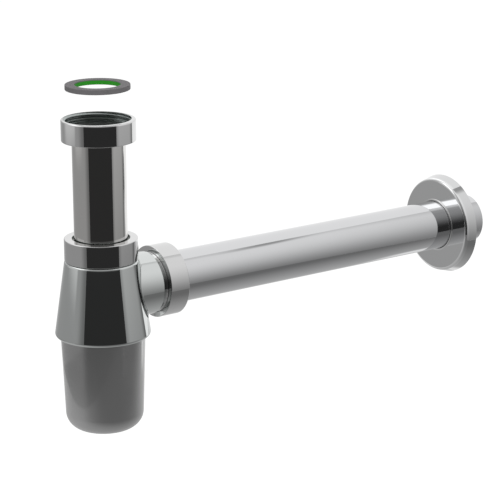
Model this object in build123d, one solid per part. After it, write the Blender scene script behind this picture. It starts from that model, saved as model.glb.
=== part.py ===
from build123d import *
import os

# A bottle trap for a washbasin waste, in chromed brass, with a satin cup and a wall pipe.
# The origin is on the trap's axis, at the top of the inlet washer once it is seated, where
# the waste's tail comes to rest. +Z is up, and +X runs along the outlet pipe to the wall.
# Sizes are in millimetres. A thread stands here as a plain cylinder: an outside thread at
# its root, and a nut's thread at its inner diameter.

# Gaps between pieces
slide_gap = 0.3  # radial, a tube in a bore that guides it
seal_gap = 0.06  # radial, a seal's lip on its tube
seat_gap = 0.05  # between flat faces that bear on each other
loose_gap = 0.3  # a ring or a flange that a nut carries loosely
screwed_home_gap = 0.2  # a nut's open end over the shoulder that it screws down to
break_edge = 0.4  # small rounding on turned edges
overrun = 1.0  # how far a cut or a joining stretch runs past a face

# Tubes
tube_od = 32.0
tube_wall = 1.0
tube_end_chamfer = 0.3
inlet_drop = 100.0  # inlet seat down to the outlet pipe's axis
inlet_tube_end = 8.0  # the inlet tube's lower end, below the pipe's axis
pipe_end = 291.5  # the outlet pipe's wall end, from the trap's axis
pipe_room = 7.3  # how much further the pipe could be pushed into the neck

# Union nut on the inlet tube's flange, for a G 1 1/4 waste
union_bore = 38.95
union_wall = 2.675
union_height = 12.9
union_above_seat = 5.4
union_relief_depth = 0.8
union_relief_top = 0.1
union_mouth_chamfer = 0.5
union_top_round = 1.0
union_lip_gap = 0.5
flange_side_gap = 0.575  # radial, the flange in the nut's bore
flange_thickness = 1.6
flange_root_round = 0.5

# Inlet washer, shown lifted off its seat
washer_side_gap = 0.275  # radial, the washer in the nut's bore
washer_lip = 1.5  # how far the washer reaches inside the tube's bore
washer_thickness = 3.0
washer_lift = 25.9

# Compression joints, M38 x 1.5, one on the trap's top and one on its neck
gland_seat_widening = 1.2
gland_seat_depth = 2.5
gland_rim_wall = 0.58  # the spigot's rim, from its seat to the thread's root
gland_thread_gap = 0.11
gland_thread_chamfer = 0.3
gland_nut_wall = 3.91
gland_nut_length = 13.4
gland_nut_flange = 2.2
gland_nut_hole_gap = 1.25  # radial, the nut's hole round the tube
gland_nut_round = 0.6
gland_ring_thickness = 1.2
gland_seal_proud = 1.2  # how far the seal stands out of the spigot

# Trap body: a cone with a neck
neck_wall = 3.0
neck_length = 32.3
neck_fillet = 1.6
neck_thread_shown = 2.9  # the neck's thread that its nut leaves bare
gland_over_neck = 0.7  # the top gland nut's open end, above the neck
cone_over_nut = 0.05  # radial, the cone's top outside the gland nut
cone_roof = 2.2
cone_shoulder_round = 1.6
cone_over_cup = 3.3  # radial, the cone's rim outside the cup
cone_rim_round = 2.0
chamber_step = 1.9  # radial, the chamber's top outside the dip tube's socket
land_below_bore = 0.7  # the land that the cup's seal meets, below the neck's bore
cup_land_height = 9.9  # that land, above the cone's bottom face

# Cup, on a 52 x 2 thread
cup_top_d = 51.0
cup_taper = 2.2  # radial, from its top to its bottom
cup_shoulder = 0.725  # radial, outside the thread's root
cup_thread_gap = 0.145
cup_thread_chamfer = 0.6
cup_rim_wall = 1.775
cup_gap_under_cone = 0.3
cup_base_round = 10.6
cup_floor = 2.4
cup_wall_at_floor = 2.0
cup_seal_thickness = 2.0

# Dip tube, pushed up into the body
dip_wall = 1.4
dip_head_reach = 0.6
dip_socket_height = 4.0
dip_push_gap = 0.05
water_seal = 50.0  # depth of water over the dip tube's end
settling_room = 16.7  # under the dip tube's end, down to the cup's floor

# Wall rosette, free to slide on the pipe
pipe_past_rosette = 21.1
rosette_depth = 7.7
rosette_front_d = 61.6
rosette_back_d = 65.8
rosette_front_round = 1.9
rosette_wall = 1.3
rosette_hole_round = 0.7  # where the pipe goes in
rosette_pocket_depth = 3.4
rosette_ring_section = 2.2

# Radii and diameters worked out from the sizes above
tube_r = tube_od / 2
tube_bore_r = tube_r - tube_wall
guide_r = tube_r + slide_gap
seal_r = tube_r + seal_gap
union_bore_r = union_bore / 2
flange_r = union_bore_r - flange_side_gap
gland_seat_r = guide_r + gland_seat_widening
gland_root_r = gland_seat_r + gland_rim_wall
gland_nut_bore_r = gland_root_r + gland_thread_gap
gland_nut_r = gland_nut_bore_r + gland_nut_wall
neck_r = guide_r + neck_wall
dip_outer_r = guide_r + dip_wall
dip_socket_r = dip_outer_r + dip_head_reach
cup_top_r = cup_top_d / 2
cup_base_r = cup_top_r - cup_taper
cup_root_r = cup_top_r - cup_shoulder
cup_mouth_r = cup_root_r - cup_rim_wall
cone_top_r = gland_nut_r + cone_over_nut
cone_rim_r = cup_top_r + cone_over_cup

# Heights and places worked out from the sizes above
pipe_z = -inlet_drop
flange_top = -washer_thickness - seat_gap
flange_base = flange_top - flange_thickness
union_top = union_above_seat
union_base = union_top - union_height
gland_z = pipe_z + neck_r + gland_over_neck
gland_inner_face = gland_nut_length - gland_nut_flange
gland_ring_base = gland_inner_face - seat_gap - gland_ring_thickness
gland_spigot_length = gland_ring_base - seat_gap - gland_seal_proud
ledge_z = gland_z - screwed_home_gap
socket_z = ledge_z - cone_roof
land_z = pipe_z - guide_r - land_below_bore
base_z = land_z - cup_land_height
rim_z = base_z + cone_rim_round
cup_seal_top = land_z - seat_gap
cup_rim_z = cup_seal_top - cup_seal_thickness - seat_gap
cup_shoulder_z = base_z - cup_gap_under_cone
dip_end_z = pipe_z - guide_r - water_seal
cup_floor_z = dip_end_z - settling_room
cup_base_z = cup_floor_z - cup_floor
neck_bore_start = dip_socket_r + dip_wall
outlet_nut_start = neck_length + neck_thread_shown
pipe_start = neck_bore_start + pipe_room
rosette_back = pipe_end - pipe_past_rosette
rosette_front = rosette_back - rosette_depth

BOTTOM = (Align.CENTER, Align.CENTER, Align.MIN)

# Places: the trap's axis, the pipe's axis, and the two compression joints' open ends
along_pipe = Pos(0, 0, pipe_z) * Rot(0, 90, 0)
top_joint = Pos(0, 0, gland_z)
neck_joint = along_pipe * Pos(0, 0, outlet_nut_start)


def half_section(points, rounds=()):
    """A closed face of (radius, height) points, with some of its corners rounded."""
    face = make_face(Polyline(*points, close=True))
    for corner, radius in rounds:
        vertex = face.vertices().sort_by_distance(Vector(*corner))[0]
        face = fillet(vertex, radius)
    return face


def turned(points, rounds=()):
    """A solid turned about the Z axis from its half section."""
    return revolve(Plane.XZ * half_section(points, rounds), Axis.Z)


def tube(end_low, end_high):
    """A plain tube from one height to the other, with its ends chamfered outside."""
    c = tube_end_chamfer
    return turned([
        (tube_bore_r, end_low),
        (tube_r - c, end_low),
        (tube_r, end_low + c),
        (tube_r, end_high - c),
        (tube_r - c, end_high),
        (tube_bore_r, end_high),
    ])


def inlet_washer():
    """The flat washer, at the height where it is shown lifted."""
    bottom = washer_lift - washer_thickness
    inner = tube_bore_r - washer_lip
    outer = union_bore_r - washer_side_gap
    return turned([
        (inner, bottom),
        (outer, bottom),
        (outer, washer_lift),
        (inner, washer_lift),
    ])


def inlet_tube():
    """The inlet tube, with the turned-out flange that the union nut pulls up."""
    end_low = pipe_z - inlet_tube_end
    c = tube_end_chamfer
    return turned(
        [
            (tube_bore_r, end_low),
            (tube_r - c, end_low),
            (tube_r, end_low + c),
            (tube_r, flange_base),
            (flange_r, flange_base),
            (flange_r, flange_top),
            (tube_bore_r, flange_top),
        ],
        [((tube_r, flange_base), flange_root_round), ((tube_bore_r, flange_top), flange_root_round)],
    )


def union_nut():
    """The round union nut: a lip under the flange, a relief, and the thread's bore."""
    hole_r = tube_r + union_lip_gap
    bore_r = union_bore_r
    relief_r = bore_r + union_relief_depth
    lip_top = flange_base - loose_gap
    mouth = union_mouth_chamfer
    outer = bore_r + union_wall
    return turned(
        [
            (hole_r, union_base),
            (outer, union_base),
            (outer, union_top),
            (bore_r + mouth, union_top),
            (bore_r, union_top - mouth),
            (bore_r, union_relief_top),
            (relief_r, union_relief_top - union_relief_depth),
            (relief_r, lip_top),
            (hole_r, lip_top),
        ],
        [((outer, union_base), break_edge), ((outer, union_top), union_top_round)],
    )


def compression_nut():
    """A compression joint's nut, from its open end at height 0."""
    outer = gland_nut_r
    bore_r = gland_nut_bore_r
    hole_r = tube_r + gland_nut_hole_gap
    return turned(
        [
            (bore_r, 0),
            (outer, 0),
            (outer, gland_nut_length),
            (hole_r, gland_nut_length),
            (hole_r, gland_inner_face),
            (bore_r, gland_inner_face),
        ],
        [((outer, 0), break_edge), ((outer, gland_nut_length), gland_nut_round)],
    )


def slip_ring():
    """The flat ring that lets the nut turn without dragging the seal round."""
    outer = gland_nut_bore_r - loose_gap
    top = gland_ring_base + gland_ring_thickness
    return turned([
        (guide_r, gland_ring_base),
        (outer, gland_ring_base),
        (outer, top),
        (guide_r, top),
    ])


def wedge_seal():
    """The tapered rubber seal, in the spigot's conical seat and standing out of it."""
    top = gland_ring_base - seat_gap
    bottom = gland_spigot_length - gland_seat_depth + seat_gap
    rim_r = gland_seat_r - seat_gap
    return turned([
        (seal_r, bottom),
        (guide_r - seat_gap, bottom),
        (rim_r, gland_spigot_length),
        (rim_r, top),
        (seal_r, top),
    ])


def spigot_points(foot):
    """Half section of a threaded spigot and its seat, down to a foot height."""
    root_r = gland_root_r
    return [
        (guide_r, foot),
        (root_r, foot),
        (root_r, gland_spigot_length - gland_thread_chamfer),
        (root_r - gland_thread_chamfer, gland_spigot_length),
        (gland_seat_r, gland_spigot_length),
        (guide_r, gland_spigot_length - gland_seat_depth),
    ]


def cone_radius(z):
    """The cone's outer radius at a height, from its top and its rim."""
    share = (z - rim_z) / (gland_z - rim_z)
    return cone_rim_r + (cone_top_r - cone_rim_r) * share


def outer_cone():
    """The body's cone as a full solid, with its rounded shoulder and rim, and its seam at the back."""
    top_r = cone_radius(ledge_z)
    return Rot(0, 0, 180) * turned(
        [
            (0, base_z),
            (cone_rim_r, base_z),
            (cone_rim_r, rim_z),
            (top_r, ledge_z),
            (0, ledge_z),
        ],
        [((cone_rim_r, base_z), cone_rim_round), ((top_r, ledge_z), cone_shoulder_round)],
    )


def chamber():
    """The hollow inside the cone: the dip tube's socket, the chamber and the cup's thread."""
    thread_r = cup_root_r + cup_thread_gap
    c = cup_thread_chamfer
    socket_base = socket_z - dip_socket_height
    return turned([
        (0, base_z - overrun),
        (thread_r + c, base_z - overrun),
        (thread_r + c, base_z),
        (thread_r, base_z + c),
        (thread_r, land_z),
        (cup_mouth_r, land_z),
        (dip_socket_r + chamber_step, socket_base),
        (dip_socket_r, socket_base),
        (dip_socket_r, socket_z),
        (0, socket_z),
    ])


def rod(radius, low, high):
    """A full cylinder on Z from one height to another, with its seam at the back."""
    return Pos(0, 0, low) * Rot(0, 0, 180) * Cylinder(radius, high - low, align=BOTTOM)


def outer_neck():
    """The neck as a full solid, with its end's edge broken, and its seam at the back."""
    return Rot(0, 0, 180) * turned(
        [(0, 0), (neck_r, 0), (neck_r, neck_length), (0, neck_length)],
        [((neck_r, neck_length), break_edge)],
    )


def trap_body():
    """The cast body: the cone and its neck, the two threaded spigots, and the waterways."""
    shell = outer_cone() + along_pipe * outer_neck()
    neck_root = shell.edges().filter_by(GeomType.BSPLINE).sort_by(SortBy.LENGTH)[-1]
    shell = fillet(neck_root, neck_fillet)
    top_foot = ledge_z - gland_z - overrun
    neck_foot = neck_length - outlet_nut_start - overrun
    shell = shell + top_joint * turned(spigot_points(top_foot))
    shell = shell + neck_joint * turned(spigot_points(neck_foot))
    inlet_bore = rod(guide_r, socket_z - overrun, ledge_z + overrun)
    neck_bore = along_pipe * rod(guide_r, neck_bore_start, neck_length + overrun)
    return shell - chamber() - inlet_bore - neck_bore


def dip_tube():
    """The plastic dip tube, which carries the water down below the cup's water line."""
    head_r = dip_socket_r - dip_push_gap
    head_top = socket_z - seat_gap
    head_base = socket_z - dip_socket_height
    return turned([
        (guide_r, dip_end_z),
        (dip_outer_r, dip_end_z),
        (dip_outer_r, head_base),
        (head_r, head_base),
        (head_r, head_top),
        (guide_r, head_top),
    ])


def cup_seal():
    """The flat seal between the cup's rim and the body."""
    return turned([
        (cup_mouth_r, cup_seal_top - cup_seal_thickness),
        (cup_root_r, cup_seal_top - cup_seal_thickness),
        (cup_root_r, cup_seal_top),
        (cup_mouth_r, cup_seal_top),
    ])


def cup():
    """The cup: a threaded rim, a slightly tapered wall and a well rounded bottom."""
    base_corner = (cup_base_r, cup_base_z)
    floor_corner = (cup_base_r - cup_wall_at_floor, cup_floor_z)
    floor_round = cup_base_round - (cup_floor + cup_wall_at_floor) / 2
    return turned(
        [
            (0, cup_base_z),
            base_corner,
            (cup_top_r, cup_shoulder_z),
            (cup_root_r, cup_shoulder_z),
            (cup_root_r, cup_rim_z),
            (cup_mouth_r, cup_rim_z),
            (cup_mouth_r, cup_shoulder_z),
            floor_corner,
            (0, cup_floor_z),
        ],
        [
            (base_corner, cup_base_round),
            (floor_corner, floor_round),
            ((cup_top_r, cup_shoulder_z), break_edge),
        ],
    )


def wall_rosette():
    """The rosette: a flat face with a hole for the pipe, and a dished rim that meets the wall."""
    front_r = rosette_front_d / 2
    back_r = rosette_back_d / 2
    inner_face = rosette_front + rosette_wall
    pocket_r = seal_r + rosette_ring_section + seat_gap
    pocket_back = inner_face + rosette_pocket_depth
    return turned(
        [
            (guide_r, rosette_front),
            (front_r, rosette_front),
            (back_r, rosette_back),
            (back_r - rosette_wall, rosette_back),
            (front_r - rosette_wall, inner_face),
            (pocket_r + rosette_wall, inner_face),
            (pocket_r + rosette_wall, pocket_back),
            (pocket_r, pocket_back),
            (pocket_r, inner_face),
            (guide_r, inner_face),
        ],
        [
            ((guide_r, rosette_front), rosette_hole_round),
            ((front_r, rosette_front), rosette_front_round),
        ],
    )


def rosette_ring():
    """The rubber ring in the rosette's pocket, which grips the pipe."""
    back = rosette_front + rosette_wall + seat_gap
    return turned([
        (seal_r, back),
        (seal_r + rosette_ring_section, back),
        (seal_r + rosette_ring_section, back + rosette_ring_section),
        (seal_r, back + rosette_ring_section),
    ])


def pieces():
    """Every piece, by its node's name, in its place."""
    return {
        "inlet_washer": inlet_washer(),
        "union_nut": union_nut(),
        "inlet_tube": inlet_tube(),
        "gland_nut": top_joint * compression_nut(),
        "gland_slip_ring": top_joint * slip_ring(),
        "gland_seal": top_joint * wedge_seal(),
        "trap_body": trap_body(),
        "dip_tube": dip_tube(),
        "cup_seal": cup_seal(),
        "cup": cup(),
        "outlet_nut": neck_joint * compression_nut(),
        "outlet_slip_ring": neck_joint * slip_ring(),
        "outlet_seal": neck_joint * wedge_seal(),
        "outlet_pipe": along_pipe * tube(pipe_start, pipe_end),
        "wall_rosette": along_pipe * wall_rosette(),
        "rosette_ring": along_pipe * rosette_ring(),
    }


os.makedirs("parts", exist_ok=True)
for name, solid in pieces().items():
    export_step(solid, f"parts/{name}.step")
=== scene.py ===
import math

import bpy
import numpy as np
from mathutils import Matrix, Vector


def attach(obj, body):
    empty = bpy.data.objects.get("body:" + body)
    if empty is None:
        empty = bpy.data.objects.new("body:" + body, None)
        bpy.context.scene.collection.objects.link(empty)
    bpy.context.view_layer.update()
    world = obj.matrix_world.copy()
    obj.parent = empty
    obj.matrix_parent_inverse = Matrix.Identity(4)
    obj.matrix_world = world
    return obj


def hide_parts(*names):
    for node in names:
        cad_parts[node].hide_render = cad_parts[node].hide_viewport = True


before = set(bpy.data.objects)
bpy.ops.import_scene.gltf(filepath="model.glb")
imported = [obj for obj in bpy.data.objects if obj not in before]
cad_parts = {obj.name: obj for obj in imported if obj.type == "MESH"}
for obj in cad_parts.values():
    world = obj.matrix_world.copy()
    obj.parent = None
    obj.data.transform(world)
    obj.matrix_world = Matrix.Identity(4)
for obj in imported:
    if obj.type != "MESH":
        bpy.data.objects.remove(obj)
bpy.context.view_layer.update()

MM = 0.001
TURN = 2 * math.pi
HAIR = 1e-6            # millimetres that count as nothing

# Sizes of the trap, in millimetres, as the CAD part has them
PIPE_Z = -100.0        # the outlet pipe's axis
TUBE_BORE_R = 15.0     # the inside of the inlet tube and of the outlet pipe
UNION_TOP = 5.4        # the union nut's open end
UNION_LENGTH = 12.9
UNION_R = 22.15
UNION_HOLE_R = 16.5
UNION_LIP = 2.55       # the lip that pulls on the tube's flange
UNION_THREAD = (19.475, 20.955, 2.309)   # the nut's crest and root radius, and the pitch
UNION_THREAD_FOOT = 0.1                  # where the thread's cylinder ends, by the flange
UNION_RELIEF = 0.8     # how much wider than that cylinder the nut is below it
NUT_LENGTH = 13.4      # the two compression nuts
NUT_R = 22.1
NUT_HOLE_R = 17.25
NUT_FLANGE = 2.2
NUT_THREAD = (18.19, 19.0, 1.5)
SPIGOT_THREAD = (18.08, 18.89, 1.5)      # the spigots' root and crest radius, and the pitch
SPIGOT_LENGTH = 8.7
TOP_JOINT_Z = -80.0    # the top compression nut's open end
NECK_JOINT_X = 35.2    # the neck's compression nut's open end
CUP_THREAD = (24.775, 25.75, 2.0)
CUP_SHOULDER_Z = -127.2
CUP_RIM_Z = -119.1
ROSETTE_FACE_X = 262.7
ROSETTE_LIP = (16.78, 0.70)              # the bead round the rosette's hole, and its section
WASHER = (13.5, 19.2, 22.9, 25.9)        # inner and outer radius, bottom and top

# How the turned pieces are drawn, in millimetres where it isn't a count or a share
COLUMNS = 288          # points round a turned piece
ARC_STEPS = 6          # steps round each rounded corner
LIP_POINTS = 24        # points round the section of the rosette's bead
UNION_STEP = 0.11      # steps along the threads
NUT_STEP = 0.09
CUP_STEP = 0.12
RIDGE_ROOT = 0.16      # the share of a thread's half pitch that is flat at its root
RIDGE_FLANK = 0.66     # and the share that its flank takes
RIDGE_ROUNDING = 0.45
GROOVE_RUN_OUT = 0.9
RIDGE_RUN_OUT = 0.8
PAST_MOUTH = 2.0       # a nut's groove goes on past its mouth, so it cuts through it
UNION_GROOVE_FOOT = 0.15
NUT_GROOVE_STOP = 1.0  # what stays plain next to the nut's flange
SPIGOT_PLAIN_END = 0.35
SPIGOT_RIDGE = 0.8     # the share of its full height that a spigot's ridge has
SPIGOT_SUNK = 0.25     # how deep a thread's sleeve is sunk into what carries it
CUP_SUNK = 0.3
NECK_THREAD_START = -0.9                 # the neck's thread starts outside its nut
CUP_PLAIN_END = 0.2
UNION_BORE_EDGE = 1.05                   # the dull inside, painted darker as shade, ends this far from the outside
NUT_BORE_EDGE = 0.2    # the dull inside, painted darker as shade, ends this far outside the thread's root

# Finishes: shades are the shares of light that the darker and the lighter clouds give back
CLOUDS = (0.3, 0.7)    # the part of a noise that a roughness drifts over
CHROME_SHADES, CHROME_ROUGH = (0.68, 0.70), (0.028, 0.046)
CHROME_WAVES = 0.0000006                 # metres that polished plate is uneven by
INSIDE_PAINTED_SHADE, INSIDE_ROUGH = 0.20, 0.30  # the tubes' bores: a darker plate as painted shade, and rougher, as thin plate is
INSIDE_EDGE = (0.1, 0.4)                 # millimetres past the bore where it ends
FACE_PAINTED_HIGHLIGHT, FACE_DEPTH = 0.80, (1.5, 2.8)        # the rosette's face, given a brighter plate as a painted highlight, down to this depth
# The nuts' insides: a darker plate as painted shade, and rough, as dull plate is
DULL_PAINTED_SHADES, DULL_ROUGH = (0.34, 0.50), (0.28, 0.40)
DULL_TINT = (0.95, 1.03, 1.01)
SATIN_SHADES, SATIN_ROUGH = (0.48, 0.53), (0.20, 0.25)
SATIN_COAT, SATIN_COAT_IOR, SATIN_COAT_ROUGH = 1.0, 2.0, 0.04
WASHER_DARK, WASHER_LIGHT = (0.140, 0.143, 0.140, 1), (0.185, 0.170, 0.185, 1)
GREEN_DARK, GREEN_LIGHT = (0.016, 0.30, 0.008, 1), (0.035, 0.42, 0.020, 1)
GREEN_WALL = (0.12, 0.45)                # millimetres outside the inner wall where it fades
GREEN_EDGE = (0.7, 0.4)                  # and below the washer's top
SEAL_DARK, SEAL_LIGHT = (0.020, 0.020, 0.021, 1), (0.040, 0.040, 0.041, 1)
RUBBER_GRAIN, PLASTIC_GRAIN = 0.00003, 0.00002

# Where the photograph was taken from, and along which axes
CAMERA_AT = (-0.6039, -0.9872, 0.2470)
CAMERA_RIGHT = (0.81023, -0.58611, -0.00249)
CAMERA_UP = (0.15932, 0.21616, 0.96328)
CAMERA_AHEAD = (0.56405, 0.78087, -0.26851)
LENS = 144.9
SENSOR = 36.0
CAMERA_SEES = (0.05, 100.0)

# The studio round the part, in metres and degrees
STUDIO_CENTRE = (0.12, 0.0, -0.10)
CAMERA_SIDE = 234.16   # compass angle of the camera, counted from +X
LEFT_RADIUS = 1.6      # the left-hand wall is far off
LEFT_FOOT = -21.2
LEFT_FLOOR_Z = -0.72
LEFT_OVERLAP = 0.01    # the left floor goes this far under the wall
RIGHT_RADIUS = 0.43    # the right-hand wall and the table are close
RIGHT_FOOT = -24.3
RIGHT_START = 44.0     # where the right-hand wall begins, in front of the flag
WALL_TOP = 89.0
TABLE_Z = -0.276
TABLE_RADIUS = 0.39
TABLE_BACK = (126.0, 200.0)              # where the table reaches further back
TABLE_BACK_RADIUS = 0.62
FLAG_RADIUS = 1.0
FLAG_FOOT = -18.5
FLAG_TOP = 52.0
FLAG_SIDES = (-43.0, 56.0)
GAP = (126.0, 187.0)   # the white background shows between the walls' ends
PANEL_AT = (-0.439, 0.379)               # the soft light at the left, facing the tube
PANEL_SIDES = (-0.32, 0.38)
PANEL_HEIGHTS = (-0.17, 0.90)
ROUND_CARD_GRID = (48, 96)
LEVEL_CARD_GRID = (12, 97)
LEVEL_CARD_START = 0.001
PANEL_GRID = (12, 12)
FLOOR_Z = -0.76
FLOOR_REACH = 30.0
FLOOR_SHADE, FLOOR_GLOW = 0.8, 0.55
SKY_LIGHT, WHITE = 0.60, 1.0             # what the world gives to matt surfaces, and to view
LAMP_AT, LAMP_SIZE, LAMP_POWER = (-0.7, -1.1, 1.4), 1.6, 14.0

# How bright the cards are, as soft steps: from, to, the brightness at from and at to. The
# walls', the flag's and the left floor's go by degrees of rise or side, the others' by metres.
LEFT_CLIMB = (-5.0, 50.0, 0.32, 0.85)
LEFT_BY_FLAG = (-43.5, -63.0, 0.55, 1.10)
LEFT_FAR_END = (-125.0, -188.0, 1.0, 2.0)
RIGHT_CLIMB = (-42.0, 52.0, 0.191, 0.907)
RIGHT_BY_FLAG = (RIGHT_START, 57.0, 0.68, 1.0)
RIGHT_FAR_END = (104.0, 124.0)                   # the sides over which it grows dark:
RIGHT_LATER = (0.0, 30.0, 0.0, -3.0)             # they come a little later higher up,
RIGHT_SOONER = (48.0, 56.0, 0.0, 10.0)           # and sooner near the top
RIGHT_DARK_LOW = (0.0, 20.0, 0.52, 0.18)         # how dark it grows, low down,
RIGHT_DARK_HIGH = (50.0, 56.0, 0.0, 0.38)        # and in a band near the top
RIGHT_DARK_TOP = (62.0, 57.0)
FLAG_CLIMB = (0.0, 55.0, 0.030, 0.42)
LEFT_FLOOR_SHADE, LEFT_FLOOR_DARKER = 0.20, 0.06
LEFT_FLOOR_FRONT = (-60.0, -42.0), (60.0, 42.0)
TABLE_UNDER = (-0.24, 0.10, 0.18, 0.48)
TABLE_BEHIND = (0.08, 0.30, 0.0, 0.32), (0.0, 0.12)
TABLE_EDGE = (0.335, 0.375, 0.0, 0.42), (0.02, 0.06), (0.15, 0.11)
PANEL_MIDDLE = (-0.30, -0.22), (0.36, 0.12)
PANEL_EDGE_CLIMB = (0.0, 0.7, 0.36, 0.76)
PANEL_FOOT_CLIMB = (-0.165, -0.105, 0.36, 0.66)
PANEL_HIGH_CLIMB = (0.25, 0.40, 0.0, 1.1)


# Meshes

def mesh_piece(name, points, quads, normals=None):
    """A mesh object from rows of points and of four corners, smooth shaded."""
    mesh = bpy.data.meshes.new(name)
    mesh.vertices.add(len(points))
    mesh.vertices.foreach_set("co", np.asarray(points, np.float32).ravel())
    mesh.loops.add(quads.size)
    mesh.loops.foreach_set("vertex_index", quads.astype(np.int32).ravel())
    mesh.polygons.add(len(quads))
    mesh.polygons.foreach_set("loop_start", np.arange(len(quads), dtype=np.int32) * 4)
    mesh.polygons.foreach_set("use_smooth", np.ones(len(quads), bool))
    mesh.update(calc_edges=True)
    if normals is not None:
        mesh.normals_split_custom_set_from_vertices(normals.tolist())
    piece = bpy.data.objects.new(name, mesh)
    bpy.context.scene.collection.objects.link(piece)
    return piece


def grid_quads(rows, columns, closed):
    """The four corners of every cell of a rows by columns grid, closed on itself or open."""
    i = np.arange(rows if closed else rows - 1)[:, None]
    j = np.arange(columns if closed else columns - 1)[None, :]
    i2, j2 = (i + 1) % rows, (j + 1) % columns
    corners = [i * columns + j, i * columns + j2, i2 * columns + j2, i2 * columns + j]
    return np.stack([c + 0 * i + 0 * j for c in corners], -1).reshape(-1, 4)


def rounded(corners, run_steps=1):
    """A closed outline through (radius, height, rounding) corners: each corner is cut by an
    arc that meets both of its sides, and each straight side is split into run_steps runs."""
    c = np.asarray([p[:2] for p in corners], float)
    rounding = np.asarray([p[2] for p in corners], float)
    to_last = np.roll(c, 1, 0) - c
    to_next = np.roll(c, -1, 0) - c
    to_last /= np.linalg.norm(to_last, axis=1)[:, None]
    to_next /= np.linalg.norm(to_next, axis=1)[:, None]
    half = np.arccos(np.clip((to_last * to_next).sum(1), -1, 1)) / 2
    setback = rounding / np.tan(half)
    start, end = c + to_last * setback[:, None], c + to_next * setback[:, None]
    bisector = to_last + to_next
    bisector /= np.linalg.norm(bisector, axis=1)[:, None]
    centre = c + bisector * (rounding / np.sin(half))[:, None]
    t = np.linspace(0, 1, ARC_STEPS + 1)[None, :, None]
    a, b = (start - centre)[:, None, :], (end - centre)[:, None, :]
    sweep = (math.pi - 2 * half)[:, None, None]
    spoke = (a * np.sin((1 - t) * sweep) + b * np.sin(t * sweep)) / np.sin(sweep)
    arc = spoke + centre[:, None, :]
    following = np.roll(arc[:, 0], -1, 0)
    s = (np.arange(1, run_steps) / run_steps)[None, :, None]
    run = arc[:, -1][:, None, :] * (1 - s) + following[:, None, :] * s
    return np.concatenate([arc, run], 1).reshape(-1, 2)


def upright(points):
    """The trap's own axis: points stay where they are."""
    return points


def at_top_joint(points):
    """Onto the trap's axis, from the top compression joint's open end."""
    return points + np.array([0, 0, TOP_JOINT_Z])


def along_pipe(points):
    """Onto the outlet pipe's axis: up becomes along the pipe, and the turned shape's X
    becomes down."""
    x, y, z = points[..., 0], points[..., 1], points[..., 2]
    return np.stack([z, y, PIPE_Z - x], -1)


def at_neck_joint(points):
    """Onto the outlet pipe's axis, from the neck's compression joint's open end."""
    return along_pipe(points + np.array([0, 0, NECK_JOINT_X]))


def ridge(z, angle, pitch, low, high, run_out):
    """A right-hand thread's height, from 0 to 1, at a height and an angle: a trapezium wave of
    z / pitch - angle / turn, with rounded tops, that runs out to 0 at both ends."""
    wave = np.abs(2 * ((z / pitch - angle / TURN) % 1.0) - 1)
    flank = np.clip((wave - RIDGE_ROOT) / RIDGE_FLANK, 0, 1)
    soft = flank * flank * (3 - 2 * flank)
    shape = soft * RIDGE_ROUNDING + flank * (1 - RIDGE_ROUNDING)
    ends = np.clip((z - low) / run_out, 0, 1) * np.clip((high - z) / run_out, 0, 1)
    return shape * ends


def lay_thread(outline, radius, step):
    """The outline with its one run on the thread's cylinder split into short steps."""
    ends = np.flatnonzero(np.abs(outline[:, 0] - radius) < HAIR)
    first, last = ends[0], ends[-1]
    z0, z1 = outline[first, 1], outline[last, 1]
    count = max(2, int(abs(z1 - z0) / step))
    z = np.linspace(z0, z1, count)
    run = np.stack([np.full_like(z, radius), z], -1)
    return np.concatenate([outline[:first], run, outline[last + 1:]])


def turned_piece(name, outline, place=upright, thread=None):
    """A ring turned from a closed outline, in millimetres: point (i, j) is outline point i at
    angle j, (r cos a, r sin a, z). A thread's radius is its cylinder's plus depth times ridge,
    and it takes over wherever the outline lies between the thread's cylinder and that radius."""
    r, z = outline[:, 0][:, None], outline[:, 1][:, None]
    angle = (np.arange(COLUMNS) * TURN / COLUMNS)[None, :]
    radius = r + 0 * angle
    if thread is not None:
        cylinder, depth, pitch, low, high, run_out = thread
        cut = cylinder + depth * ridge(z, angle, pitch, low, high, run_out)
        radius = np.where(r > cylinder - HAIR, np.maximum(radius, cut), radius)
    points = np.stack([radius * np.cos(angle), radius * np.sin(angle), z + 0 * angle], -1)
    along = np.roll(points, -1, 0) - np.roll(points, 1, 0)
    across = np.roll(points, -1, 1) - np.roll(points, 1, 1)
    normals = np.cross(across, along)
    normals /= np.linalg.norm(normals, axis=-1)[..., None]
    tips = place(points + normals) - place(points)
    flat = (place(points) * MM).reshape(-1, 3)
    return mesh_piece(name, flat, grid_quads(len(outline), COLUMNS, True), tips.reshape(-1, 3))


# Materials

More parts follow.
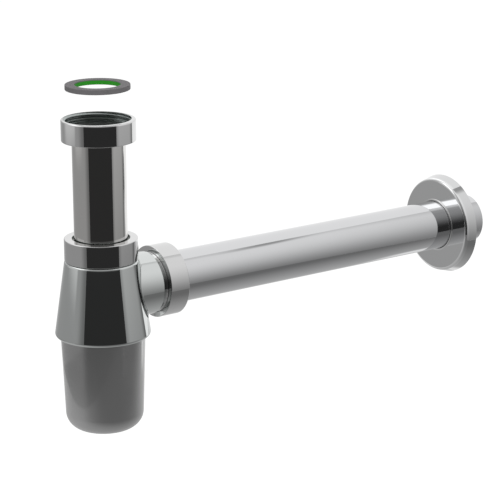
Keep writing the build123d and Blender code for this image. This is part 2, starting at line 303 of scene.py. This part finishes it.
class Nodes:
    """A material's node tree, with short ways to add nodes."""

    def __init__(self, name):
        self.material = bpy.data.materials.new(name)
        self.material.use_nodes = True
        self.tree = self.material.node_tree
        self.tree.nodes.clear()
        self.out = self.add("ShaderNodeOutputMaterial")
        self.object_place = self.add("ShaderNodeTexCoord").outputs["Object"]

    def add(self, kind, inputs=(), **settings):
        """A node of a kind, with its settings, and its inputs by name or number."""
        node = self.tree.nodes.new(kind)
        for key, value in settings.items():
            setattr(node, key, value)
        for key, value in dict(inputs).items():
            self.put(node.inputs[key], value)
        return node

    def put(self, socket, value):
        """Links a node's output to the socket, or sets the socket to a plain value."""
        if isinstance(value, bpy.types.NodeSocket):
            self.tree.links.new(value, socket)
        else:
            socket.default_value = value

    def math(self, operation, *values):
        node = self.add("ShaderNodeMath", operation=operation)
        for socket, value in zip(node.inputs, values):
            self.put(socket, value)
        return node.outputs[0]

    def times(self, first, *others):
        for other in others:
            first = self.math("MULTIPLY", first, other)
        return first

    def plus(self, first, second):
        return self.math("ADD", first, second)

    def distance(self, x, y):
        """How far (x, y) is from the origin."""
        return self.math("SQRT", self.plus(self.times(x, x), self.times(y, y)))

    def ramp(self, value, low, high, to_low=0.0, to_high=1.0):
        """A smooth step from to_low at low to to_high at high."""
        step = {
            "Value": value, "From Min": low, "From Max": high, "To Min": to_low, "To Max": to_high,
        }
        node = self.add("ShaderNodeMapRange", step, interpolation_type="SMOOTHSTEP")
        return node.outputs["Result"]

    def parts(self, vector):
        return self.add("ShaderNodeSeparateXYZ", {"Vector": vector}).outputs

    def noise(self, per_metre, detail=2.0):
        """Clouds from 0 to 1, so many to the metre or so."""
        clouds = {"Vector": self.object_place, "Scale": per_metre, "Detail": detail}
        return self.add("ShaderNodeTexNoise", clouds).outputs["Fac"]

    def blend(self, share, first, second):
        """From the first colour at a share of 0 to the second at 1."""
        node = self.add("ShaderNodeMix", data_type="RGBA")
        self.put(node.inputs[0], share)
        self.put(node.inputs[6], first)
        self.put(node.inputs[7], second)
        return node.outputs[2]

    def bump(self, height, distance, strength=1.0):
        inputs = {"Height": height, "Distance": distance, "Strength": strength}
        return self.add("ShaderNodeBump", inputs).outputs["Normal"]

    def surface(self, **inputs):
        """The finished material, with the shader's inputs by name."""
        shader = self.add("ShaderNodeBsdfPrincipled")
        for key, value in inputs.items():
            self.put(shader.inputs[key.replace("_", " ")], value)
        self.tree.links.new(shader.outputs["BSDF"], self.out.inputs["Surface"])
        return self.material


def grey(value, tint=(1, 1, 1)):
    return (value * tint[0], value * tint[1], value * tint[2], 1.0)


def clouded(n, clouds, shades, rough, tint=(1, 1, 1)):
    """A metal's colour and roughness, which both drift with its clouds."""
    darker, lighter = shades
    colour = n.blend(clouds, grey(darker, tint), grey(lighter, tint))
    return colour, n.ramp(clouds, *CLOUDS, *rough)


def outside_bore(n, axis, radius):
    """0 inside a bore of the radius round the trap's or the pipe's axis, and 1 outside it."""
    x, y, z = n.parts(n.object_place)
    if axis == "pipe":
        x = n.math("SUBTRACT", z, PIPE_Z * MM)
    edge = [(radius + past) * MM for past in INSIDE_EDGE]
    return n.ramp(n.distance(x, y), *edge)


def polished_chrome(name, tint=(1, 1, 1), bore=None, face_x=None):
    """Bright chrome plate: faint cloudy polish marks in the gloss, and a trace of unevenness.
    A bore is dark, as painted shade, and dull, as thin plate in a pipe is; a face may be painted a
    shade brighter, as a painted highlight."""
    n = Nodes(name)
    colour, rough = clouded(n, n.noise(45.0, 3.0), CHROME_SHADES, CHROME_ROUGH, tint)
    if bore is not None:
        # Painted shade: the bore's plate is made dark, for the shade inside it
        outside = outside_bore(n, *bore)
        colour = n.blend(outside, grey(INSIDE_PAINTED_SHADE, tint), colour)
        rough = n.plus(rough, n.ramp(outside, 0.0, 1.0, INSIDE_ROUGH, 0.0))
    if face_x is not None:
        # Painted highlight: the face's plate is made brighter than the rim's, for the brighter
        # reflections there
        start, end = [(face_x + depth) * MM for depth in FACE_DEPTH]
        painted_highlight_on_face = n.ramp(n.parts(n.object_place)[0], start, end, 1.0, 0.0)
        colour = n.blend(painted_highlight_on_face, colour, grey(FACE_PAINTED_HIGHLIGHT, tint))
    wavy = n.bump(n.noise(160.0, 1.0), CHROME_WAVES)
    return n.surface(Base_Color=colour, Metallic=1.0, Roughness=rough, Normal=wavy)


def dull_chrome_painted_shade(name):
    """Thin, dull chrome inside the nuts, painted darker as shade, and darker still in cloudy
    patches.
    """
    n = Nodes(name)
    colour, rough = clouded(n, n.noise(160.0, 3.0), DULL_PAINTED_SHADES, DULL_ROUGH, DULL_TINT)
    return n.surface(Base_Color=colour, Metallic=1.0, Roughness=rough)


def satin_chrome(name):
    """The cup's satin chrome: a soft sheen in cloudy patches under a clear, glossy coat."""
    n = Nodes(name)
    colour, rough = clouded(n, n.noise(30.0, 3.0), SATIN_SHADES, SATIN_ROUGH)
    return n.surface(
        Base_Color=colour, Metallic=1.0, Roughness=rough, Coat_Weight=SATIN_COAT,
        Coat_IOR=SATIN_COAT_IOR, Coat_Roughness=SATIN_COAT_ROUGH,
    )


def washer_rubber(name):
    """The washer: dark grey rubber, mottled, with a green inner wall below its rounded edge."""
    n = Nodes(name)
    x, y, z = n.parts(n.object_place)
    wall = [(WASHER[0] + past) * MM for past in GREEN_WALL]
    edge = [(WASHER[3] - below) * MM for below in GREEN_EDGE]
    radius = n.distance(x, y)
    inner_wall = n.times(n.ramp(radius, *wall, 1.0, 0.0), n.ramp(z, *edge, 1.0, 0.0))
    mottle = n.noise(220.0, 3.0)
    grain = n.noise(2200.0)
    rubber = n.blend(mottle, WASHER_DARK, WASHER_LIGHT)
    green = n.blend(mottle, GREEN_DARK, GREEN_LIGHT)
    return n.surface(
        Base_Color=n.blend(inner_wall, rubber, green),
        Roughness=n.ramp(grain, *CLOUDS, 0.55, 0.75),
        Specular_IOR_Level=0.3, Normal=n.bump(grain, RUBBER_GRAIN, 0.5),
    )


def seal_rubber(name):
    """The seals: black rubber with a fine matt grain."""
    n = Nodes(name)
    grain = n.noise(1800.0, 3.0)
    return n.surface(
        Base_Color=n.blend(n.noise(150.0), SEAL_DARK, SEAL_LIGHT),
        Roughness=n.ramp(grain, *CLOUDS, 0.5, 0.7), Normal=n.bump(grain, RUBBER_GRAIN, 0.5),
    )


def moulded_plastic(name, colour, shade):
    """The slip rings and the dip tube: moulded plastic, slightly uneven, with a soft gloss."""
    n = Nodes(name)
    flow = n.noise(90.0, 3.0)
    grain = n.noise(1400.0)
    return n.surface(
        Base_Color=n.blend(flow, colour, shade), Roughness=n.ramp(grain, *CLOUDS, 0.35, 0.5),
        Normal=n.bump(grain, PLASTIC_GRAIN, 0.4),
    )


CHROME = polished_chrome("bright_chrome_plate")
TUBE_CHROME = polished_chrome(
    "tube_chrome_plate", tint=(1.01, 1.0, 0.98), bore=("trap", TUBE_BORE_R))
BODY_CHROME = polished_chrome("body_chrome_plate", tint=(0.98, 1.01, 1.0))
PIPE_CHROME = polished_chrome(
    "pipe_chrome_plate", tint=(0.99, 0.995, 1.01), bore=("pipe", TUBE_BORE_R))
ROSETTE_CHROME = polished_chrome(
    "rosette_chrome_plate", tint=(0.995, 1.0, 1.005), face_x=ROSETTE_FACE_X)
# Painted shade inside the nuts: a darker, dull plate
NUT_BORE_PAINTED_SHADE = dull_chrome_painted_shade("nut_bore_plate_painted_shade")
SATIN = satin_chrome("satin_chrome_plate")
WASHER_RUBBER = washer_rubber("washer_rubber_green_inside")
SEAL_RUBBER = seal_rubber("black_seal_rubber")
SLIP_PLASTIC = moulded_plastic("slip_ring_plastic", (0.80, 0.80, 0.77, 1), (0.74, 0.74, 0.71, 1))
TUBE_PLASTIC = moulded_plastic("dip_tube_plastic", (0.62, 0.63, 0.64, 1), (0.55, 0.56, 0.57, 1))

NODE_FINISH = {
    "inlet_tube": TUBE_CHROME, "trap_body": BODY_CHROME, "outlet_pipe": PIPE_CHROME,
    "wall_rosette": ROSETTE_CHROME, "union_nut": CHROME, "gland_nut": CHROME,
    "outlet_nut": CHROME, "cup": SATIN, "inlet_washer": WASHER_RUBBER,
    "gland_seal": SEAL_RUBBER, "outlet_seal": SEAL_RUBBER, "cup_seal": SEAL_RUBBER,
    "rosette_ring": SEAL_RUBBER, "gland_slip_ring": SLIP_PLASTIC,
    "outlet_slip_ring": SLIP_PLASTIC, "dip_tube": TUBE_PLASTIC,
}


def finish_piece(piece, material, body, replaced=(), bore=None):
    """Gives a new piece its finish, its body and its slot, and the CAD nodes it stands for.
    The faces that are marked as the bore's take the dull finish, which is painted darker as shade."""
    piece.data.materials.append(material)
    if bore is not None:
        piece.data.materials.append(NUT_BORE_PAINTED_SHADE)
        piece.data.polygons.foreach_set("material_index", bore.astype(np.int32))
    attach(piece, body)
    if replaced:
        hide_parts(*replaced)


# The pieces

def union_nut():
    """The union nut: a lip under the flange, a relief, and a helical groove up to its mouth."""
    crest, root, pitch = UNION_THREAD
    base = UNION_TOP - UNION_LENGTH
    relief = crest + UNION_RELIEF
    outline = rounded([
        (UNION_HOLE_R, base, 0.2), (UNION_R, base, 0.4), (UNION_R, UNION_TOP, 1.0),
        (crest, UNION_TOP, 0.12), (crest, UNION_THREAD_FOOT, 0.1),
        (relief, UNION_THREAD_FOOT - UNION_RELIEF, 0.1), (relief, base + UNION_LIP, 0.1),
        (UNION_HOLE_R, base + UNION_LIP, 0.15),
    ])
    groove = (
        crest, root - crest, pitch, UNION_GROOVE_FOOT, UNION_TOP + PAST_MOUTH, GROOVE_RUN_OUT,
    )
    return lay_thread(outline, crest, UNION_STEP), groove


def compression_nut():
    """A compression nut, from its open end at height 0: a flanged end and a helical groove."""
    crest, root, pitch = NUT_THREAD
    inner = NUT_LENGTH - NUT_FLANGE
    outline = rounded([
        (NUT_R, 0.0, 0.4), (NUT_R, NUT_LENGTH, 0.6), (NUT_HOLE_R, NUT_LENGTH, 0.2),
        (NUT_HOLE_R, inner, 0.15), (crest, inner, 0.1), (crest, 0.0, 0.15),
    ])
    groove = (crest, root - crest, pitch, -PAST_MOUTH, inner - NUT_GROOVE_STOP, GROOVE_RUN_OUT)
    return lay_thread(outline, crest, NUT_STEP), groove


def thread_sleeve(thread, low, high, sunk, step, share=1.0):
    """An outside thread as a sleeve, sunk a little into what carries it: a helical ridge on
    its root cylinder, with a share of its full height."""
    root, crest, pitch = thread
    outline = np.array([(root - sunk, low), (root, low), (root, high), (root - sunk, high)])
    helix = (root, (crest - root) * share, pitch, low, high, RIDGE_RUN_OUT)
    return lay_thread(outline, root, step), helix


def bore_faces(outline, inside):
    """True for each face between two outline points that are both nearer the axis than inside."""
    near = outline[:, 0] < inside
    return np.repeat(near & np.roll(near, -1), COLUMNS)


def make_nuts():
    """The union nut, and the two compression nuts, which are alike."""
    outline, groove = union_nut()
    bore = bore_faces(outline, UNION_R - UNION_BORE_EDGE)
    piece = turned_piece("union_nut_threaded", outline, thread=groove)
    finish_piece(piece, CHROME, "union", ["union_nut"], bore)
    outline, groove = compression_nut()
    bore = bore_faces(outline, NUT_THREAD[1] + NUT_BORE_EDGE)
    piece = turned_piece("gland_nut_threaded", outline, at_top_joint, groove)
    finish_piece(piece, CHROME, "top_nut", ["gland_nut"], bore)
    piece = turned_piece("outlet_nut_threaded", outline, at_neck_joint, groove)
    finish_piece(piece, CHROME, "neck_nut", ["outlet_nut"], bore)


def make_spigot_threads():
    """The threads on the body's two spigots, which the compression nuts run on."""
    for name, place, low in (
        ("top_spigot_thread", at_top_joint, 0.0),
        ("neck_spigot_thread", at_neck_joint, NECK_THREAD_START),
    ):
        outline, helix = thread_sleeve(
            SPIGOT_THREAD, low, SPIGOT_LENGTH - SPIGOT_PLAIN_END, SPIGOT_SUNK, NUT_STEP,
            SPIGOT_RIDGE,
        )
        piece = turned_piece(name, outline, place, helix)
        finish_piece(piece, CHROME, "trap")


def make_cup_thread():
    """The thread round the cup's rim, which holds it in the body."""
    outline, helix = thread_sleeve(
        CUP_THREAD, CUP_SHOULDER_Z + CUP_PLAIN_END, CUP_RIM_Z - CUP_PLAIN_END, CUP_SUNK, CUP_STEP,
    )
    piece = turned_piece("cup_thread", outline, thread=helix)
    finish_piece(piece, SATIN, "cup")


def make_rosette_lip():
    """The rosette's lip: a small round bead on its face, round the hole that the pipe goes into.
    Its outline is a circle: (R + r cos t, r sin t)."""
    out, section = ROSETTE_LIP
    t = np.arange(LIP_POINTS) * TURN / LIP_POINTS
    outline = np.stack([out + section * np.cos(t), ROSETTE_FACE_X + section * np.sin(t)], -1)
    piece = turned_piece("rosette_lip", outline, along_pipe)
    finish_piece(piece, CHROME, "rosette")


def make_washer():
    """The washer: a flat ring with softly rounded moulded edges."""
    inner, outer, low, high = WASHER
    outline = rounded([
        (inner, low, 0.25), (outer, low, 0.3), (outer, high, 0.3), (inner, high, 0.25),
    ], run_steps=3)
    piece = turned_piece("washer_moulded", outline)
    finish_piece(piece, WASHER_RUBBER, "washer", ["inlet_washer"])


# The studio

def card_finish(name, brightness):
    """A card's finish: plain light, of the brightness that the function works out from the
    side and the rise, in degrees, as the studio's centre sees them, and from the place."""
    n = Nodes(name)
    turned = (0, 0, math.radians(CAMERA_SIDE - 90))
    about = {"Vector": n.object_place, "Location": STUDIO_CENTRE, "Rotation": turned}
    x, y, z = n.parts(n.add("ShaderNodeMapping", about, vector_type="TEXTURE").outputs["Vector"])
    flat = n.distance(x, y)
    side = n.math("DEGREES", n.math("ARCTAN2", n.times(x, -1.0), y))
    rise = n.math("DEGREES", n.math("ARCTAN2", z, flat))
    shade = brightness(n, side, rise, n.parts(n.object_place))
    light = n.add("ShaderNodeEmission", {"Color": shade})
    n.tree.links.new(light.outputs[0], n.out.inputs["Surface"])
    return n.material


def left_wall_light(n, side, rise, place):
    """Plain grey, lighter high up; darker by the flag, and lighter towards the far end."""
    climb = n.ramp(rise, *LEFT_CLIMB)
    return n.times(n.ramp(side, *LEFT_BY_FLAG), n.ramp(side, *LEFT_FAR_END), climb)


def right_wall_light(n, side, rise, place):
    """Grey at the foot and light at the top; darker by the flag and at the far end."""
    climb = n.ramp(rise, *RIGHT_CLIMB)
    by_flag = n.ramp(side, *RIGHT_BY_FLAG)
    lean = n.plus(n.ramp(rise, *RIGHT_LATER), n.ramp(rise, *RIGHT_SOONER))
    high_up = n.times(n.ramp(rise, *RIGHT_DARK_HIGH), n.ramp(rise, *RIGHT_DARK_TOP))
    depth = n.plus(n.ramp(rise, *RIGHT_DARK_LOW), high_up)
    dark = n.times(n.ramp(n.plus(side, lean), *RIGHT_FAR_END), depth)
    return n.times(by_flag, n.math("SUBTRACT", 1.0, dark), climb)


def flag_light(n, side, rise, place):
    """Nearly black, lighter high up."""
    return n.ramp(rise, *FLAG_CLIMB)


def left_floor_light(n, side, rise, place):
    """Dark, and darker in front of the flag."""
    left, right = LEFT_FLOOR_FRONT
    in_front = n.times(n.ramp(side, *left), n.ramp(side, *right))
    return n.math("SUBTRACT", LEFT_FLOOR_SHADE, n.times(in_front, LEFT_FLOOR_DARKER))


def table_light(n, side, rise, place):
    """Dark in front, grey under the part, lighter behind it and at the right edge."""
    x, y, z = place
    behind_by_y, behind_by_x = TABLE_BEHIND
    edge_by_x, edge_start, edge_end = TABLE_EDGE
    behind = n.times(n.ramp(y, *behind_by_y), n.ramp(x, *behind_by_x))
    edge = n.times(n.ramp(y, *edge_start), n.ramp(y, *edge_end), n.ramp(x, *edge_by_x))
    return n.plus(n.plus(n.ramp(y, *TABLE_UNDER), behind), edge)


def panel_light(n, side, rise, place):
    """As grey as the wall at the foot and the sides, light in the middle, and bright high up."""
    x, y, z = place
    across = math.hypot(*PANEL_AT)
    along = n.plus(n.times(x, PANEL_AT[1] / across), n.times(y, -PANEL_AT[0] / across))
    start, end = PANEL_MIDDLE
    share = n.times(n.ramp(along, *start), n.ramp(along, *end))
    edge = n.ramp(z, *PANEL_EDGE_CLIMB)
    middle = n.plus(n.ramp(z, *PANEL_FOOT_CLIMB), n.ramp(z, *PANEL_HIGH_CLIMB))
    return n.add("ShaderNodeMix", {0: share, 2: edge, 3: middle}).outputs[0]


def card(name, points, brightness):
    """A card from a grid of points, which only reflections see."""
    piece = mesh_piece(name, points.reshape(-1, 3), grid_quads(*points.shape[:2], False))
    piece.data.materials.append(card_finish(name, brightness))
    for ray in ("camera", "diffuse", "shadow", "transmission", "volume_scatter"):
        setattr(piece, "visible_" + ray, False)


def round_card(name, sides, rises, radius_at, brightness):
    """A curved card: point (i, j) lies at rise i and side j, at radius_at(rise) from the centre."""
    rows, columns = ROUND_CARD_GRID
    rise = np.radians(np.linspace(*rises, rows))[:, None]
    side = np.radians(CAMERA_SIDE + np.linspace(*sides, columns))[None, :]
    radius = radius_at(rise)
    out, up = radius * np.cos(rise), radius * np.sin(rise)
    points = np.stack([out * np.cos(side), out * np.sin(side), up + 0 * side], -1)
    card(name, points + np.array(STUDIO_CENTRE), brightness)


def level_card(name, sides, height, radius, brightness):
    """A level sector at a height: point (i, j) lies at distance i from the centre and at side j."""
    rows, columns = LEVEL_CARD_GRID
    side = np.radians(CAMERA_SIDE + np.linspace(*sides, columns))[None, :]
    out = np.linspace(LEVEL_CARD_START, radius, rows)[:, None]
    points = np.stack([out * np.cos(side), out * np.sin(side), 0 * out * side], -1)
    card(name, points + np.array((*STUDIO_CENTRE[:2], height)), brightness)


def upright_panel(name, at, widths, heights, brightness):
    """A flat upright card facing the tube: point (i, j) lies at height i and width j from at."""
    rows, columns = PANEL_GRID
    across = math.hypot(*at)
    width = np.linspace(*widths, columns)[None, :]
    height = np.linspace(*heights, rows)[:, None]
    points = np.stack([
        at[0] + width * at[1] / across + 0 * height, at[1] - width * at[0] / across + 0 * height,
        height + 0 * width,
    ], -1)
    card(name, points, brightness)


def make_studio():
    """A round studio: a far grey wall at the left, a close one at the right, a gap between them
    for the white background, a dark flag at the camera's side, a table that reaches further
    back behind the part, and a light panel at the left."""
    left_sides = (GAP[1] - 360, FLAG_SIDES[1])
    round_card(
        "left_wall", left_sides, (LEFT_FOOT, WALL_TOP), lambda rise: LEFT_RADIUS, left_wall_light)
    round_card(
        "right_wall", (RIGHT_START, GAP[0]), (RIGHT_FOOT, WALL_TOP), lambda rise: RIGHT_RADIUS,
        right_wall_light,
    )
    round_card(
        "flag", FLAG_SIDES, (FLAG_FOOT, FLAG_TOP), lambda rise: FLAG_RADIUS / np.cos(rise),
        flag_light,
    )
    drop = STUDIO_CENTRE[2] - LEFT_FLOOR_Z
    reach = drop / math.tan(math.radians(-LEFT_FOOT)) + LEFT_OVERLAP
    level_card("left_floor", left_sides, LEFT_FLOOR_Z, reach, left_floor_light)
    level_card("table", (TABLE_BACK[1] - 360, TABLE_BACK[0]), TABLE_Z, TABLE_RADIUS, table_light)
    level_card("table_back", TABLE_BACK, TABLE_Z, TABLE_BACK_RADIUS, table_light)
    upright_panel("light_panel", PANEL_AT, PANEL_SIDES, PANEL_HEIGHTS, panel_light)
    make_floor()
    make_background()
    make_lamp()


def make_lamp():
    """A soft square lamp above the camera's left, which mirrors don't show."""
    lamp = bpy.data.lights.new("soft_lamp", "AREA")
    lamp.shape, lamp.size, lamp.size_y = "RECTANGLE", LAMP_SIZE, LAMP_SIZE
    lamp.energy = LAMP_POWER
    top = bpy.data.objects.new("soft_lamp", lamp)
    top.location = LAMP_AT
    towards = Vector(STUDIO_CENTRE) - top.location
    top.rotation_euler = towards.to_track_quat("-Z", "Y").to_euler()
    top.visible_glossy = False
    bpy.context.scene.collection.objects.link(top)


def seen_or_mirrored(tree):
    """1 for a ray from the camera or one that a mirror or a glass sends on, else 0."""
    path = tree.nodes.new("ShaderNodeLightPath")
    total = path.outputs["Is Camera Ray"]
    for other in ("Is Glossy Ray", "Is Transmission Ray"):
        add = tree.nodes.new("ShaderNodeMath")
        add.operation, add.use_clamp = "ADD", True
        tree.links.new(total, add.inputs[0])
        tree.links.new(path.outputs[other], add.inputs[1])
        total = add.outputs[0]
    return total


def make_floor():
    """A plain pale floor, far below the part, that shows white and keeps a shadow."""
    corners = [(-1, -1), (1, -1), (1, 1), (-1, 1)]
    points = np.array([(x * FLOOR_REACH, y * FLOOR_REACH, FLOOR_Z) for x, y in corners])
    floor = mesh_piece("floor", points, np.array([[0, 1, 2, 3]]))
    n = Nodes("pale_floor")
    matt = n.add("ShaderNodeBsdfDiffuse", {"Color": grey(FLOOR_SHADE)})
    glow = n.add("ShaderNodeEmission", {"Color": grey(1.0)})
    n.put(glow.inputs["Strength"], n.times(seen_or_mirrored(n.tree), FLOOR_GLOW))
    both = n.add("ShaderNodeAddShader", {0: matt.outputs[0], 1: glow.outputs[0]})
    n.tree.links.new(both.outputs[0], n.out.inputs["Surface"])
    floor.data.materials.append(n.material)


def make_background():
    """White to the camera and in mirrors, and a plain soft light on everything else."""
    world = bpy.data.worlds.new("studio_background")
    bpy.context.scene.world = world
    world.use_nodes = True
    tree = world.node_tree
    tree.nodes.clear()
    out = tree.nodes.new("ShaderNodeOutputWorld")
    back = tree.nodes.new("ShaderNodeBackground")
    step = tree.nodes.new("ShaderNodeMapRange")
    step.inputs["To Min"].default_value = SKY_LIGHT
    step.inputs["To Max"].default_value = WHITE
    tree.links.new(seen_or_mirrored(tree), step.inputs["Value"])
    tree.links.new(step.outputs["Result"], back.inputs["Strength"])
    back.inputs["Color"].default_value = (1, 1, 1, 1)
    tree.links.new(back.outputs[0], out.inputs["Surface"])


def make_camera():
    """The camera, where the photograph was taken from."""
    data = bpy.data.cameras.new("camera")
    data.lens, data.sensor_width, data.sensor_fit = LENS, SENSOR, "HORIZONTAL"
    data.clip_start, data.clip_end = CAMERA_SEES
    camera = bpy.data.objects.new("camera", data)
    axes = Matrix((CAMERA_RIGHT, CAMERA_UP, [-a for a in CAMERA_AHEAD])).transposed()
    camera.matrix_world = Matrix.Translation(CAMERA_AT) @ axes.to_4x4()
    bpy.context.scene.collection.objects.link(camera)
    bpy.context.scene.camera = camera


for node, material in NODE_FINISH.items():
    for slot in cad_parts[node].material_slots:
        slot.material = material
make_nuts()
make_spigot_threads()
make_cup_thread()
make_rosette_lip()
make_washer()
make_studio()
make_camera()
bpy.context.scene.view_settings.view_transform = "Standard"
